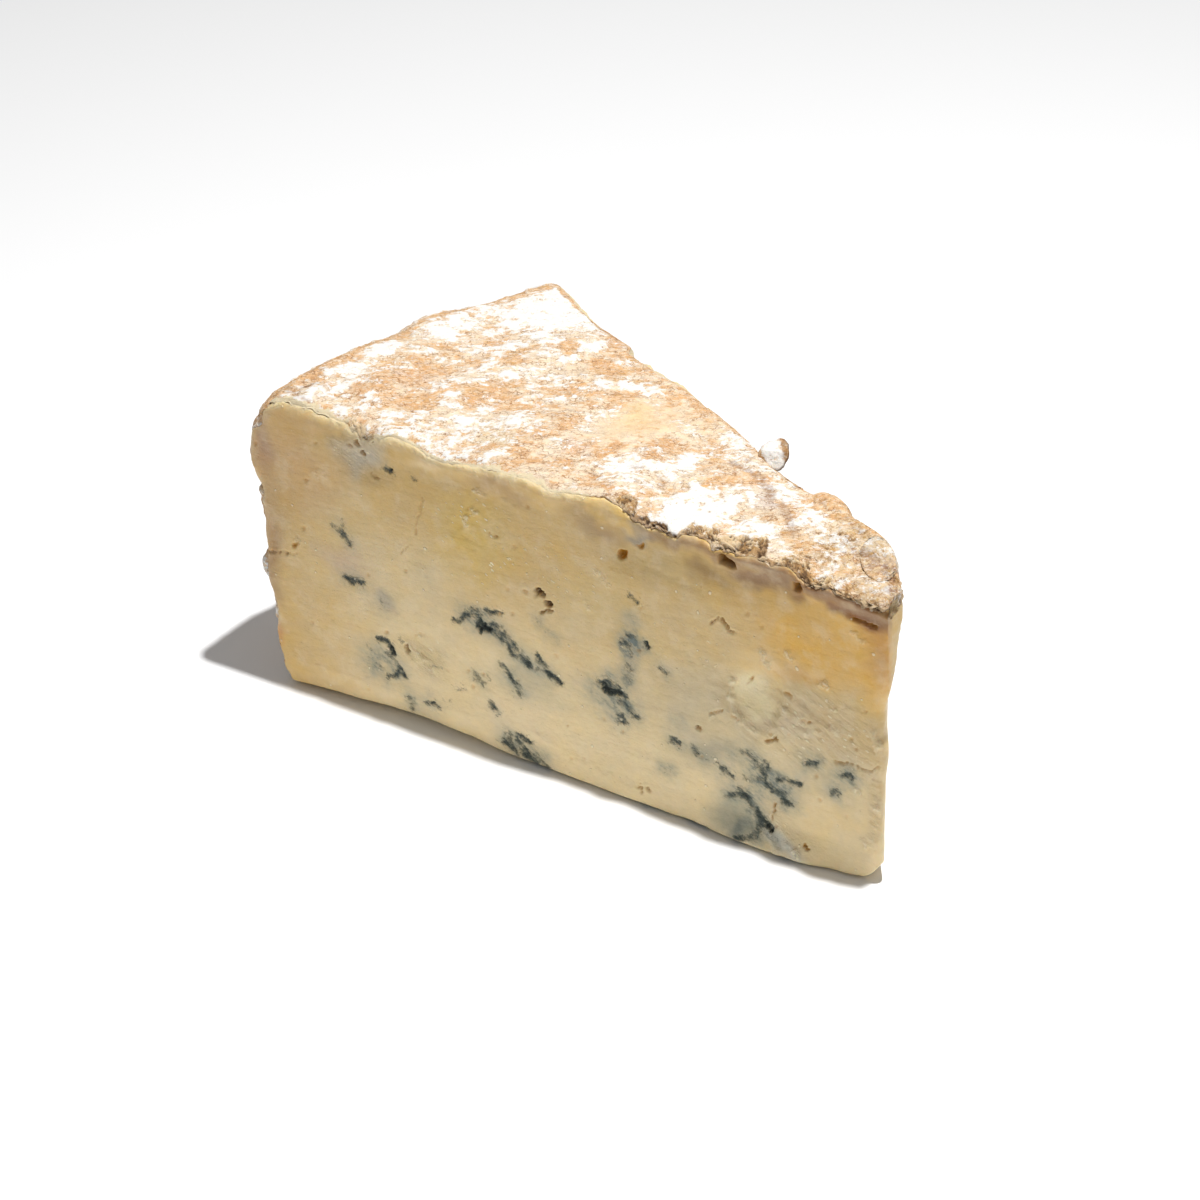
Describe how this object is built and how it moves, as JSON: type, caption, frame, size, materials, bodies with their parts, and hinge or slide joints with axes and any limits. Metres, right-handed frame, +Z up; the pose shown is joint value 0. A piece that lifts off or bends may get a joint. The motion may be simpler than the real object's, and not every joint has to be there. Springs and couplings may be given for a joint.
{
  "type": "blue cheese wedge",
  "caption": "Wedge of blue-veined cheese cut from a flat drum, with a rough rind on its top and outer rim, smooth cut sides, a worn point and a flat base.",
  "frame": {"origin": "middle of the bounding box, at the base plane", "axes": "+Z up out of the base, +X along the wedge from its rim to its point, +Y towards the back cut"},
  "size_m": [0.1042, 0.0542, 0.0497],
  "materials": {
    "cheese": "matte, faintly waxy cut faces of cream paste with blue-green mould veins, under a dry mottled tan and orange rind with white bloom"
  },
  "bodies": {
    "root": {"cheese_wedge": "cheese"}
  },
  "joints": []
}
